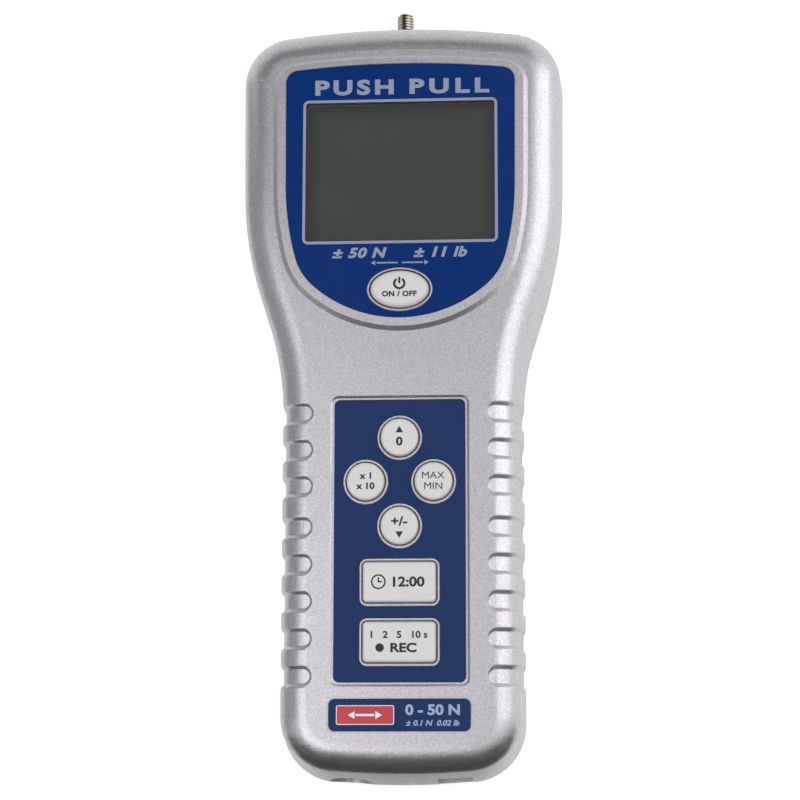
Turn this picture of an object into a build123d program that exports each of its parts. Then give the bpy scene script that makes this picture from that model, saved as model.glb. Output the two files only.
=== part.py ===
from build123d import *
from math import cos, pi, radians, sin, sqrt, tan
import os

# Hand-held digital force gauge, lying on its back. Millimetres.
# +X is to the right, +Y runs from the grip's tail to the sensing stud, +Z comes out of the front.
# The origin is under the middle of the whole length, on the plane that the back lies on.
# Places along the gauge are given as distances from the tail and turned into Y by along().

os.makedirs("parts", exist_ok=True)

# ---------------------------------------------------------------- driving dimensions
# Case
case_length = 212.6
case_depth = 45.0
head_width = 91.1
grip_width = 67.2
parting_z = 25.0           # height of the joint between the two shells
seam_width = 0.3           # groove all round the case along that joint
seam_depth = 1.3
wall = 2.2
side_draft = 3.0           # degrees, all round the case
tail_draft = 11.5          # degrees, front half of the tail end
front_round = 8.0
back_round = 3.0
tail_bow = 221.0           # radius of the tail's gentle arc
head_bow = 245.0
tail_corner = 15.5
head_corner = 14.7
waist_start = 113.8        # where the grip's side would turn outwards, from the tail
waist_angle = 17.7         # degrees
head_lean = 0.8            # degrees, the head widens this much towards its end
waist_hollow = 82.0        # radius
shoulder_round = 100.0     # radius

# Finger pockets down both sides of the grip
pocket_pitch = 10.07
pocket_step = 1.2          # extra space between the third and fourth pocket
pocket_first = 28.7        # lowest pocket, from the tail
pocket_count = 8
pockets_above_step = 3
pocket_width = 6.2
pocket_floor = 3.9
pocket_depth = 0.9
pocket_lip = 0.1           # depth of the soft rim
pocket_soft = 0.5          # radius where the rim, wall and floor meet
pocket_tilt = 9.0          # degrees round the front edge to the middle of a pocket's round end
back_pocket_end = 9.5      # height of the middle of a rear pocket's round end

# Raised display plate and its shield-shaped label
crest_half = 31.85
crest_drop = 13.15         # label's top edge below the head's end
crest_height = 72.7
crest_angles = (42.0, 33.0, 14.6)
crest_turn = 17.0          # radius of the tight bend
crest_flank = 80.0         # radius of the slow bend
crest_bow = 265.0
crest_corner = 3.6
plate_height = 1.0
plate_rim = 2.4
plate_top_rim = 1.7
plate_slope = 1.2
film = 0.25                # thickness of each label
film_gap = 0.12            # gap round each label

# Display
view_width = 52.7
view_height = 39.8
view_drop = 31.05          # view's middle below the label's top edge
view_corner = 1.0
window_thick = 1.0
window_margin = 2.2
cell_glass_thick = 2.6
backlight_thick = 1.8
glass_margin = 3.6
frame_wall = 1.4

# Keys
round_key = 10.26
wide_key = (19.7, 10.8)
wide_key_corner = 1.1
oval_key = (16.1, 10.3)
key_gap = 0.5
collar = 0.4               # width of the raised ring round each key
collar_rise = 0.45
key_height = 1.75          # keypad keys above their label
power_height = 1.7
key_play = 0.1
flange_width = 1.6
flange_thick = 1.1
round_edge = 0.9
power_edge = 1.6
pad_mid = 81.3             # middle of the four round keys, from the tail
pad_x = 9.25
pad_y = 12.1
clock_key_at = 53.9
record_key_at = 37.8
power_key_rise = 7.9       # power key's middle above the display label's lowest point

# Keypad label and its recess
keypad_size = (35.8, 77.0)
keypad_mid = 65.5
keypad_corner = 1.6
recess_margin = 1.1
recess_depth = 0.5
recess_slope = 0.6

# Name label
name_size = (38.2, 8.7)
name_mid = 18.35
name_corner = 1.7
name_gap = 0.35

# Rubber mat and upper board
mat_thick = 0.8
mat_width = 35.0
dome_inset = 1.2
board_thick = 1.6
upper_board_width = 52.0
upper_board_head = 65.0
upper_board_start = 25.5
upper_board_end = 202.0
board_corner = 2.0
upper_posts = ((22.0, 31.0), (22.0, 121.0), (20.0, 198.0))

# Sockets in the tail
port_z = 26.0
port_x = 14.3
round_port = 11.5
square_port = (9.6, 11.6)
port_face = 5.2            # sockets' faces inside the tail
jack_bore = 3.6
jack_depth = 13.0
jack_collar = 6.4
jack_collar_long = 1.6
serial_size = (8.4, 14.0)
power_size = (9.0, 14.0)
power_bore = 6.4
power_pin_size = 2.0
power_depth = 9.0
reset_z = 28.0
pinhole = 1.6
reset_size = (6.5, 4.0)
reset_nub = 1.5
reset_stroke = 0.3
slot_size = (25.0, 2.5)
card_size = (24.0, 32.0, 2.1)
card_corner = 3.5          # cut corner of the card
card_recess = 1.3          # card's edge inside the tail
card_gap = 0.15
socket_wall = 0.35
socket_height = 3.4
socket_start = 3.2

# Lower board and what stands on it
lower_board_z = 19.6
lower_board_width = 51.0
lower_board_tail = 40.0
lower_board_start = 7.0
lower_board_step = 19.0
lower_board_end = 138.0
lower_posts = ((22.0, 28.0), (12.0, 134.0))
header_size = (24.0, 5.0)
header_at = 118.0
chips = ((0.0, 62.0, 14.0), (2.0, 88.0, 10.0), (-16.0, 92.0, 7.0))
chip_thick = 1.6
chip_lead = 0.8
capacitors_at = ((14.0, 52.0), (21.0, 60.0), (14.0, 68.0))
capacitor_size = (6.3, 7.5)
buzzer_at = (-15.0, 58.0)
buzzer_size = (12.0, 8.5)

# Batteries, their bay and its door
cell_radius = 7.1
cell_length = 50.5
cell_nub = (5.5, 1.0)      # diameter and length of the positive cap
cell_count = 6
cell_pitch = 14.8
cell_clear = 0.3
spring_length = 3.4
spring_wide = 9.0
contact_thick = 0.4
contact_size = (11.0, 10.0)
tab_size = (3.0, 0.4)
bay_start = 36.0
bay_wall = 1.4
bay_foot = (1.8, 4.5)      # width beyond the wall, and height
door_thick = 2.0
door_margin = 1.2
door_gap = 0.15
door_corner = 1.5
door_tab = (44.0, 11.0)
door_screw_x = 16.0
door_screw_out = 6.0
door_rib_pitch = 3.0
door_rib_depth = 0.5

# Load cell, its bracket and the stud
stud_reach = 9.0           # stud outside the case
stud_diameter = 5.0
stud_tip = 0.5
stud_shank = 6.0
stud_shoulder = 0.5        # the thicker shank ends this far outside the case
stud_z = 22.5
stud_seat = 10.0           # length inside the load cell
stud_hole = 8.0
stud_travel = 0.2
stud_clear = 0.05          # radial, where the stud enters the load cell
bar_size = (70.0, 12.0, 14.0)
bar_drop = 22.6            # bar's head-side face inside the case's end
flexure = 1.4              # thickness of each thinned web
flexure_half = 6.0
flexure_at = 17.0
gauge_size = (6.0, 4.0, 0.15)
nut_across = 8.0
nut_thick = 3.6
bracket_size = (74.0, 33.0, 3.0)
bracket_z = 9.5
bracket_pad = (11.0, 14.0)
bracket_holes = (32.0, 25.0)
bar_screws = (61.0, 6.0)
lug_size = (12.0, 5.0)
lug_gap = 3.0              # lug's face from the bar
stop_diameter = 4.0
stop_head = (6.0, 2.0)
plug_size = (8.0, 7.0, 5.0)
plug_at = (-19.0, 133.5)
cable = 2.0
cable_start = (-24.0, 22.5)
cable_bend = 9.0

# Screws, posts and the stand's inserts
case_screw = 3.0
case_head = (5.6, 2.2)     # diameter and height of the head
case_head_seat = 8.0
case_screw_grip = 11.0     # length in the front shell
case_posts = ((26.0, 14.0), (31.0, 134.0), (37.0, 198.0))
small_screw = 2.5
small_head = (4.6, 1.4)
small_screw_grip = 3.6
post_wall = 2.2
thread_clear = 0.02        # radial, a screw in its own thread
pass_clear = 0.2           # radial, a screw or head in a plain hole
rest_gap = 0.1             # between parts that nearly touch
insert_diameter = 5.6
insert_bore = 3.3          # M4 thread, minor diameter
insert_long = 8.0
stand_holes = (50.0, 40.0) # spacing of the test stand's threaded holes
stand_drop = 36.6          # their middle below the head's end

# ---------------------------------------------------------------- derived places
tail_y = -(case_length + stud_reach) / 2
front_z = case_depth
ceiling_z = front_z - wall
plate_z = front_z + plate_height
crest_top = case_length - crest_drop
crest_bottom = crest_top - crest_height
power_key_at = crest_bottom + power_key_rise
view_mid = crest_top - view_drop
recess_z = front_z - recess_depth
label_seat_z = plate_z - film - film_gap
flange_top = ceiling_z - key_play
flange_z = flange_top - flange_thick
glass_top = ceiling_z - rest_gap
glass_z = glass_top - cell_glass_thick
upper_board_top = glass_z - backlight_thick
upper_board_z = upper_board_top - board_thick
mat_top = upper_board_top + mat_thick
glass_size = (view_width + 2 * glass_margin, view_height + 2 * glass_margin)
frame_size = (glass_size[0] + 2 * frame_wall, glass_size[1] + 2 * frame_wall)
lower_board_top = lower_board_z + board_thick
port_height = 2 * (port_z - lower_board_top)
socket_z = lower_board_z - socket_height
card_z = socket_z + socket_wall + card_gap
slot_z = card_z + card_size[2] / 2
bay_half = (cell_length + spring_length) / 2 + contact_thick
bay_end = bay_start + cell_count * cell_pitch
cell_z = door_thick + cell_clear + cell_radius
bay_top = cell_z + cell_radius + cell_clear
bay_roof = bay_top + bay_wall
stop_gap = stud_travel + rest_gap
bar_far = case_length - bar_drop
bar_near = bar_far - bar_size[1]
bar_mid = (bar_far + bar_near) / 2
bar_z = stud_z - bar_size[2] / 2
bracket_top = bracket_z + bracket_size[2]
bracket_mid = bar_far + rest_gap * 20 - bracket_size[1] / 2
stand_mid = case_length - stand_drop


def along(distance):
    """Y of a place given as its distance from the tail."""
    return tail_y + distance


# ---------------------------------------------------------------- case outline
def case_outline(inset, tail_inset):
    """Case in plan, inside its widest line by inset, and by tail_inset at the tail."""
    grip_x = grip_width / 2 - inset
    head_x = head_width / 2 - inset
    waist, lean = radians(waist_angle), radians(head_lean)
    grip_end = along(waist_start) + inset * tan(waist / 2)
    head_y = along(case_length - head_corner)
    rise = (head_x - grip_x - (head_y - grip_end) * tan(lean)) / (sin(waist) - cos(waist) * tan(lean))
    shoulder = (grip_x + rise * sin(waist), grip_end + rise * cos(waist))
    tail_edge = along(tail_inset)
    tail_side = tail_edge + tail_bow - sqrt(tail_bow**2 - grip_x**2)
    head_edge = along(case_length) - inset
    head_side = head_edge - head_bow + sqrt(head_bow**2 - head_x**2)
    corners = (
        ((grip_x, tail_side), tail_corner - inset),
        ((grip_x, grip_end), waist_hollow + inset),
        (shoulder, shoulder_round - inset),
        ((head_x, head_side), head_corner - inset),
    )
    with BuildSketch() as outline:
        with BuildLine():
            ThreePointArc((-grip_x, tail_side), (0, tail_edge), (grip_x, tail_side))
            ThreePointArc((head_x, head_side), (0, head_edge), (-head_x, head_side))
            for side in (1, -1):
                Polyline([(side * x, y) for (x, y), radius in corners])
        make_face()
        for (x, y), radius in corners:
            for side in (1, -1):
                fillet(outline.vertices().sort_by_distance((side * x, y, 0))[0], radius)
    return outline.sketch


def case_half(inset, end_z, end_tail_draft, end_round):
    """Solid half of the case from the parting line to end_z, inset all round."""
    rise = abs(end_z - parting_z)
    side_inset = inset + rise * tan(radians(side_draft))
    tail_inset = inset + rise * tan(radians(end_tail_draft))
    with BuildPart() as half:
        with BuildSketch(Plane.XY.offset(parting_z)):
            add(case_outline(inset, inset))
        with BuildSketch(Plane.XY.offset(end_z)):
            add(case_outline(side_inset, tail_inset))
        loft()
        if end_round > 0:
            end_face = half.faces().sort_by_distance((0, 0, end_z))[0]
            fillet(end_face.edges(), end_round)
    return half.part


def crest_outline(spread, top_spread):
    """Shield shape of the display label, made larger by spread, and by top_spread at its top."""
    foot, turn, flank = crest_angles
    heading = radians(foot + turn)
    lean = radians(90 - foot - turn - flank)
    turn_reach = crest_turn * (sin(heading) - sin(radians(foot)))
    flank_reach = crest_flank * (cos(lean) - sin(heading))
    crest_foot = (crest_half - turn_reach - flank_reach) / sin(radians(foot))
    top_y = along(crest_top) + top_spread
    with BuildSketch() as outline:
        with BuildLine():
            bottom = JernArc((0, along(crest_bottom) - spread), (1, 0), crest_foot + spread, foot)
            bend = JernArc(bottom @ 1, bottom % 1, crest_turn + spread, turn)
            side = JernArc(bend @ 1, bend % 1, crest_flank + spread, flank)
            corner_y = top_y - (side @ 1).X ** 2 / (2 * crest_bow)
            corner_x = (side @ 1).X + (corner_y - (side @ 1).Y) * tan(lean)
            Line(side @ 1, (corner_x, corner_y))
            RadiusArc((corner_x, corner_y), (0, top_y), -crest_bow)
            mirror(about=Plane.YZ)
        make_face()
        for x in (corner_x, -corner_x):
            corner = outline.vertices().sort_by_distance((x, corner_y, 0))[0]
            fillet(corner, crest_corner + spread)
    return outline.sketch


# ---------------------------------------------------------------- key shapes and places
def key_outline(kind, margin):
    """Plan of a key cap, made larger by margin."""
    with BuildSketch() as outline:
        if kind == "round":
            Circle(round_key / 2 + margin)
        elif kind == "oval":
            Ellipse(oval_key[0] / 2 + margin, oval_key[1] / 2 + margin)
        else:
            corner = max(wide_key_corner + margin, 0.3)
            RectangleRounded(wide_key[0] + 2 * margin, wide_key[1] + 2 * margin, corner)
    return outline.sketch


keypad_keys = {
    "up_key": ("round", 0, pad_mid + pad_y),
    "left_key": ("round", -pad_x, pad_mid),
    "right_key": ("round", pad_x, pad_mid),
    "down_key": ("round", 0, pad_mid - pad_y),
    "clock_key": ("wide", 0, clock_key_at),
    "record_key": ("wide", 0, record_key_at),
}
all_keys = {**keypad_keys, "power_key": ("oval", 0, power_key_at)}


# ---------------------------------------------------------------- grip pockets
def pocket_places():
    """Distance of each pocket from the tail."""
    step_index = pocket_count - pockets_above_step
    places = [pocket_first + index * pocket_pitch for index in range(pocket_count)]
    return [place + (pocket_step if index >= step_index else 0) for index, place in enumerate(places)]


def pocket_profile(half):
    """Section of a pocket, with its depth below the line y = 0; half gives the right side only."""
    wall_top = pocket_floor / 2 + pocket_depth - pocket_lip
    lip_run = pocket_width / 2 - wall_top
    outer = (wall_top + 4 * lip_run, 3 * pocket_lip)
    points = [(0, -pocket_depth), (pocket_floor / 2, -pocket_depth), (wall_top, -pocket_lip), outer]
    points += [(outer[0], pocket_depth), (0, pocket_depth)]
    with BuildSketch() as profile:
        with BuildLine():
            Polyline(points, close=True)
        make_face()
        for x, y in points[1:3]:
            fillet(profile.vertices().sort_by_distance((x, y, 0))[0], pocket_soft)
        if not half:
            mirror(about=Plane.YZ)
    return profile.sketch


def pocket_cutter(path, outward):
    """Cutter along path with a round end at its start, where outward is the surface's normal."""
    start, heading = path @ 0, path % 0
    section_plane = Plane(start, x_dir=outward.cross(heading), z_dir=heading)
    with BuildPart() as cutter:
        with BuildSketch(section_plane):
            add(pocket_profile(half=False))
        sweep(path=path)
        with BuildSketch(section_plane):
            add(pocket_profile(half=True))
        revolve(axis=Axis(start, outward))
    return cutter.part


def front_pocket():
    """Cutter of a front pocket at y = 0: round the front edge and down the side to the parting."""
    slope, tilt = radians(side_draft), radians(pocket_tilt)
    side_top = grip_width / 2 - (front_z - parting_z) * tan(slope)
    turn_x = side_top - front_round * (1 - sin(slope)) / cos(slope)
    turn_z = front_z - front_round

    def on_round(angle):
        return (turn_x + front_round * sin(angle), 0, turn_z + front_round * cos(angle))

    middle = (tilt + pi / 2 - slope) / 2
    side_end = Vector(on_round(pi / 2 - slope))
    low = side_end + Vector(sin(slope), 0, -cos(slope)) * (side_end.Z - parting_z + pocket_depth)
    with BuildLine() as path:
        ThreePointArc(on_round(tilt), on_round(middle), side_end)
        Line(side_end, low)
    return pocket_cutter(path.wire(), Vector(sin(tilt), 0, cos(tilt)))


def back_pocket():
    """Cutter of a rear pocket at y = 0: up the side wall and past the parting."""
    slope = radians(side_draft)
    start = Vector(grip_width / 2 - (parting_z - back_pocket_end) * tan(slope), 0, back_pocket_end)
    heading = Vector(sin(slope), 0, cos(slope))
    with BuildLine() as path:
        Line(start, start + heading * (parting_z - back_pocket_end + pocket_depth))
    return pocket_cutter(path.wire(), Vector(cos(slope), 0, -sin(slope)))


def cut_pockets(cutter):
    """Cut every pocket, on both sides, out of the part being built."""
    other_side = mirror(cutter, about=Plane.YZ, mode=Mode.PRIVATE)
    with Locations([(0, along(place)) for place in pocket_places()]):
        add(cutter, mode=Mode.SUBTRACT)
        add(other_side, mode=Mode.SUBTRACT)


# ---------------------------------------------------------------- helpers for the pieces
def save(piece, name):
    """Label a finished piece and write its file."""
    piece.part.label = name
    export_step(piece.part, f"parts/{name}.step")


def cross_plane(distance):
    """Upright plane across the gauge; a negative extrusion from it runs towards the head."""
    return Plane.XZ.offset(-along(distance))


def places(points):
    """The places, given as (x, distance from the tail), with their mirror images."""
    return [(side * x, along(distance)) for x, distance in points for side in (1, -1)]


def column(points, diameter, low, high, mode=Mode.ADD):
    """Upright round bars or holes at the places, in the part being built."""
    with BuildSketch(Plane.XY.offset(low)) as section:
        with Locations(points):
            Circle(diameter / 2)
    extrude(section.sketch, amount=high - low, mode=mode)


def screw(points, size, head, seat_z, tip_z, recess=0.5):
    """Pan-head screws at the places, in the part being built; the head lies beyond the seat."""
    up = 1 if seat_z > tip_z else -1
    column(points, size, min(seat_z, tip_z), max(seat_z, tip_z))
    column(points, head[0], min(seat_z, seat_z + up * head[1]), max(seat_z, seat_z + up * head[1]))
    with BuildSketch(Plane.XY.offset(seat_z + up * head[1])) as cross:
        with Locations(points):
            Rectangle(head[0] * 0.55, recess)
            Rectangle(recess, head[0] * 0.55)
    extrude(cross.sketch, amount=-up * head[1] / 2, mode=Mode.SUBTRACT)


# ---------------------------------------------------------------- what both shells share
def end_openings():
    """Cutters through the ends: the stud's hole, both socket recesses and the reset pinhole."""
    with BuildPart() as cutter:
        with BuildSketch(cross_plane(case_length + wall)):
            with Locations((0, stud_z)):
                Circle(stud_hole / 2)
        extrude(amount=3 * wall)
        with BuildSketch(cross_plane(-wall)):
            with Locations((-port_x, port_z)):
                Circle(round_port / 2)
            with Locations((port_x, port_z)):
                RectangleRounded(square_port[0], square_port[1], 0.5)
            with Locations((0, reset_z)):
                Circle(pinhole / 2)
        extrude(amount=-(wall + port_face - rest_gap))
    return cutter.part


def seam_groove():
    """Cutter of the groove that both shells' edges leave open between them."""
    with BuildPart() as cutter:
        with BuildSketch(Plane.XY.offset(parting_z - seam_width / 2)) as ring:
            add(case_outline(-seam_depth, -seam_depth))
            add(case_outline(seam_depth, seam_depth), mode=Mode.SUBTRACT)
        extrude(ring.sketch, amount=seam_width)
    return cutter.part


outer_front = case_half(0, front_z, tail_draft, front_round)
outer_back = case_half(0, 0, side_draft, back_round)
end_cutter = end_openings()
seam_cutter = seam_groove()
screw_post = case_head[0] + 2 * pass_clear + 2 * 1.2
board_post = small_screw + 2 * post_wall
case_thread = case_screw + 2 * thread_clear
small_thread = small_screw + 2 * thread_clear


# ---------------------------------------------------------------- front shell
with BuildPart() as front_shell:
    add(outer_front)
    add(case_half(wall, ceiling_z, tail_draft, front_round - wall), mode=Mode.SUBTRACT)
    column(places(case_posts), case_screw + 2 * post_wall, parting_z, front_z)
    column(places(upper_posts), board_post, upper_board_top, front_z)
    add(outer_front, mode=Mode.INTERSECT)
    column(places(case_posts), case_thread, parting_z, parting_z + case_screw_grip + 1, Mode.SUBTRACT)
    column(places(upper_posts), small_thread, upper_board_top, ceiling_z - rest_gap, Mode.SUBTRACT)
    # raised display plate
    with BuildSketch(Plane.XY.offset(front_z)):
        add(crest_outline(plate_rim + plate_slope, plate_top_rim + plate_slope))
    with BuildSketch(Plane.XY.offset(plate_z)):
        add(crest_outline(plate_rim, plate_top_rim))
    loft()
    # seats of the display label and the window, and the view through to the display
    with BuildSketch(Plane.XY.offset(label_seat_z)):
        add(crest_outline(film_gap, film_gap))
    extrude(amount=plate_height, mode=Mode.SUBTRACT)
    with BuildSketch(Plane.XY.offset(label_seat_z - window_thick - film_gap)):
        with Locations((0, along(view_mid))):
            Rectangle(view_width + 2 * window_margin, view_height + 2 * window_margin)
    extrude(amount=window_thick + plate_height, mode=Mode.SUBTRACT)
    with BuildSketch(Plane.XY.offset(ceiling_z - wall)):
        with Locations((0, along(view_mid))):
            RectangleRounded(view_width + pass_clear, view_height + pass_clear, view_corner)
    extrude(amount=3 * wall, mode=Mode.SUBTRACT)
    # keypad recess with sloped walls, and the name label's seat
    floor_margin = 2 * (recess_margin - recess_slope)
    with BuildSketch(Plane.XY.offset(recess_z)):
        with Locations((0, along(keypad_mid))):
            RectangleRounded(keypad_size[0] + floor_margin, keypad_size[1] + floor_margin, keypad_corner)
    with BuildSketch(Plane.XY.offset(front_z)):
        with Locations((0, along(keypad_mid))):
            RectangleRounded(
                keypad_size[0] + 2 * recess_margin,
                keypad_size[1] + 2 * recess_margin,
                keypad_corner + recess_slope,
            )
    loft(mode=Mode.SUBTRACT)
    with BuildSketch(Plane.XY.offset(front_z - film - film_gap)):
        with Locations((0, along(name_mid))):
            RectangleRounded(
                name_size[0] + 2 * name_gap,
                name_size[1] + 2 * name_gap,
                name_corner + name_gap,
            )
    extrude(amount=wall, mode=Mode.SUBTRACT)
    # raised rings round the keys, then the key holes
    with BuildSketch(Plane.XY.offset(recess_z - rest_gap)):
        for kind, x, distance in keypad_keys.values():
            with Locations((x, along(distance))):
                add(key_outline(kind, key_gap + collar))
    extrude(amount=collar_rise + rest_gap)
    with BuildSketch(Plane.XY.offset(label_seat_z - rest_gap)):
        with Locations((0, along(power_key_at))):
            add(key_outline("oval", key_gap + collar))
    extrude(amount=collar_rise + rest_gap)
    with BuildSketch(Plane.XY.offset(ceiling_z - wall)):
        for kind, x, distance in all_keys.values():
            with Locations((x, along(distance))):
                add(key_outline(kind, key_gap))
    extrude(amount=4 * wall, mode=Mode.SUBTRACT)
    cut_pockets(front_pocket())
    add(seam_cutter, mode=Mode.SUBTRACT)
    add(end_cutter, mode=Mode.SUBTRACT)
save(front_shell, "front_shell")


# ---------------------------------------------------------------- rear shell
bay_mid = along((bay_start + bay_end) / 2)
bay_long = bay_end - bay_start
tab_mid = along(bay_end + door_margin + door_tab[1] / 2)
door_screws = places([(door_screw_x, bay_end + door_margin + door_screw_out)])
insert_posts = places([(stand_holes[0] / 2, stand_mid + side * stand_holes[1] / 2) for side in (1, -1)])
bracket_posts = places(
    [(bracket_holes[0] / 2, bracket_mid + side * bracket_holes[1] / 2) for side in (1, -1)]
)


def door_outline(margin):
    """Plan of the battery door and its screw tab, made smaller by margin."""
    with BuildSketch() as outline:
        with Locations((0, bay_mid)):
            Rectangle(2 * (bay_half + door_margin - margin), bay_long + 2 * (door_margin - margin))
        with Locations((0, tab_mid - door_margin / 2)):
            Rectangle(door_tab[0] - 2 * margin, door_tab[1] + door_margin - 2 * margin)
        fillet(outline.vertices(), door_corner)
    return outline.sketch


with BuildPart() as rear_shell:
    add(outer_back)
    add(case_half(wall, wall, side_draft, 0), mode=Mode.SUBTRACT)
    # battery bay with a broad foot, and the thick floor under the door's tab
    with BuildSketch():
        with Locations((0, bay_mid)):
            Rectangle(2 * (bay_half + bay_wall + bay_foot[0]), bay_long + 2 * (bay_wall + bay_foot[0]))
        with Locations((0, tab_mid)):
            Rectangle(door_tab[0] + 2 * bay_foot[0], door_tab[1] + 2 * bay_foot[0])
    extrude(amount=bay_foot[1])
    with BuildSketch():
        with Locations((0, bay_mid)):
            Rectangle(2 * (bay_half + bay_wall), bay_long + 2 * bay_wall)
    extrude(amount=bay_roof)
    # posts for the case, the lower board, the load cell's bracket, the stand and the door
    column(places(case_posts), screw_post, 0, parting_z)
    column(places(lower_posts), board_post, 0, lower_board_z)
    column(bracket_posts, board_post, 0, bracket_z)
    column(insert_posts, insert_diameter + 2 * post_wall, 0, bracket_z)
    column(door_screws, board_post, 0, bay_foot[1] + 3 * small_screw)
    add(outer_back, mode=Mode.INTERSECT)
    # inside of the bay, the door's seat and every hole
    with BuildSketch():
        with Locations((0, bay_mid)):
            Rectangle(2 * bay_half, bay_long)
    extrude(amount=bay_top, mode=Mode.SUBTRACT)
    with BuildSketch():
        add(door_outline(0))
    extrude(amount=door_thick, mode=Mode.SUBTRACT)
    column(door_screws, small_thread, 0, bay_foot[1] + 2 * small_screw, Mode.SUBTRACT)
    column(places(case_posts), case_head[0] + 2 * pass_clear, 0, case_head_seat, Mode.SUBTRACT)
    column(places(case_posts), case_screw + 2 * pass_clear, 0, parting_z, Mode.SUBTRACT)
    column(places(lower_posts), small_thread, lower_board_z - 6, lower_board_z, Mode.SUBTRACT)
    column(bracket_posts, small_thread, wall, bracket_z, Mode.SUBTRACT)
    column(insert_posts, insert_diameter + 2 * thread_clear, 0, insert_long, Mode.SUBTRACT)
    # slots for the contacts' tabs through the bay's roof
    tab_places = places([(bay_half - tab_size[1] / 2, bay_end - cell_pitch / 2)])
    with BuildSketch(Plane.XY.offset(bay_top)):
        with Locations(tab_places):
            Rectangle(tab_size[1] + 2 * pass_clear, tab_size[0] + 2 * pass_clear)
    extrude(amount=bay_wall, mode=Mode.SUBTRACT)
    # card slot in the tail
    with BuildSketch(cross_plane(-wall)):
        with Locations((0, slot_z)):
            RectangleRounded(slot_size[0], slot_size[1], 0.4)
    extrude(amount=-(wall + socket_start - rest_gap), mode=Mode.SUBTRACT)
    cut_pockets(back_pocket())
    add(seam_cutter, mode=Mode.SUBTRACT)
    add(end_cutter, mode=Mode.SUBTRACT)
save(rear_shell, "rear_shell")


# ---------------------------------------------------------------- labels and window
with BuildPart() as display_window:
    with BuildSketch(Plane.XY.offset(label_seat_z - window_thick)):
        with Locations((0, along(view_mid))):
            window_gap = 2 * (window_margin - film_gap)
            Rectangle(view_width + window_gap, view_height + window_gap)
    extrude(amount=window_thick)
save(display_window, "display_window")

with BuildPart() as display_label:
    with BuildSketch(Plane.XY.offset(label_seat_z)):
        add(crest_outline(0, 0))
        with Locations((0, along(view_mid))):
            RectangleRounded(view_width, view_height, view_corner, mode=Mode.SUBTRACT)
        with Locations((0, along(power_key_at))):
            add(key_outline("oval", key_gap + collar + film_gap), mode=Mode.SUBTRACT)
    extrude(amount=film)
save(display_label, "display_label")

with BuildPart() as keypad_label:
    with BuildSketch(Plane.XY.offset(recess_z)):
        with Locations((0, along(keypad_mid))):
            RectangleRounded(keypad_size[0], keypad_size[1], keypad_corner)
        for kind, x, distance in keypad_keys.values():
            with Locations((x, along(distance))):
                add(key_outline(kind, key_gap + collar + film_gap), mode=Mode.SUBTRACT)
    extrude(amount=film)
save(keypad_label, "keypad_label")

with BuildPart() as name_label:
    with BuildSketch(Plane.XY.offset(front_z - film - film_gap)):
        with Locations((0, along(name_mid))):
            RectangleRounded(name_size[0], name_size[1], name_corner)
    extrude(amount=film)
save(name_label, "name_label")


# ---------------------------------------------------------------- keys and their rubber mat
for name, (kind, x, distance) in all_keys.items():
    if name == "power_key":
        key_top, edge = label_seat_z + film + power_height, power_edge
    else:
        key_top, edge = recess_z + film + key_height, round_edge
    with BuildPart() as key:
        with BuildSketch(Plane.XY.offset(flange_z)):
            with Locations((x, along(distance))):
                add(key_outline(kind, flange_width - key_gap))
        extrude(amount=flange_thick)
        with BuildSketch(Plane.XY.offset(flange_top)):
            with Locations((x, along(distance))):
                add(key_outline(kind, 0))
        extrude(amount=key_top - flange_top)
        fillet(key.faces().sort_by(Axis.Z)[-1].edges(), edge)
    save(key, name)

mat_start = record_key_at - wide_key[1] / 2 - 3 * flange_width
mat_end = power_key_at + oval_key[1] / 2 + flange_width
with BuildPart() as keypad_mat:
    with BuildSketch(Plane.XY.offset(upper_board_top)):
        with Locations((0, along((mat_start + mat_end) / 2))):
            RectangleRounded(mat_width, mat_end - mat_start, board_corner)
    extrude(amount=mat_thick)
    with BuildSketch(Plane.XY.offset(mat_top)):
        for kind, x, distance in all_keys.values():
            with Locations((x, along(distance))):
                add(key_outline(kind, -dome_inset))
    extrude(amount=flange_z - rest_gap - mat_top, taper=20)
save(keypad_mat, "keypad_mat")


# ---------------------------------------------------------------- display
view_y = along(view_mid)
with BuildPart() as lcd_glass:
    with BuildSketch(Plane.XY.offset(glass_z)):
        with Locations((0, view_y)):
            Rectangle(glass_size[0], glass_size[1])
    extrude(amount=cell_glass_thick)
save(lcd_glass, "lcd_glass")

strip = (glass_size[0] - 4 * frame_wall, 2.4)
with BuildPart() as lcd_backlight:
    with BuildSketch(Plane.XY.offset(upper_board_top)):
        with Locations((0, view_y)):
            Rectangle(glass_size[0], glass_size[1] - 2 * (strip[1] + rest_gap))
    extrude(amount=backlight_thick)
save(lcd_backlight, "lcd_backlight")

with BuildPart() as lcd_connector_strips:
    with BuildSketch(Plane.XY.offset(upper_board_top)):
        for side in (1, -1):
            with Locations((0, view_y + side * (glass_size[1] - strip[1]) / 2)):
                Rectangle(strip[0], strip[1])
    extrude(amount=backlight_thick)
save(lcd_connector_strips, "lcd_connector_strips")

with BuildPart() as lcd_frame:
    with BuildSketch(Plane.XY.offset(upper_board_top)):
        with Locations((0, view_y)):
            RectangleRounded(frame_size[0], frame_size[1], frame_wall / 2)
            Rectangle(glass_size[0] + rest_gap, glass_size[1] + rest_gap, mode=Mode.SUBTRACT)
    extrude(amount=glass_top - upper_board_top)
save(lcd_frame, "lcd_frame")


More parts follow.
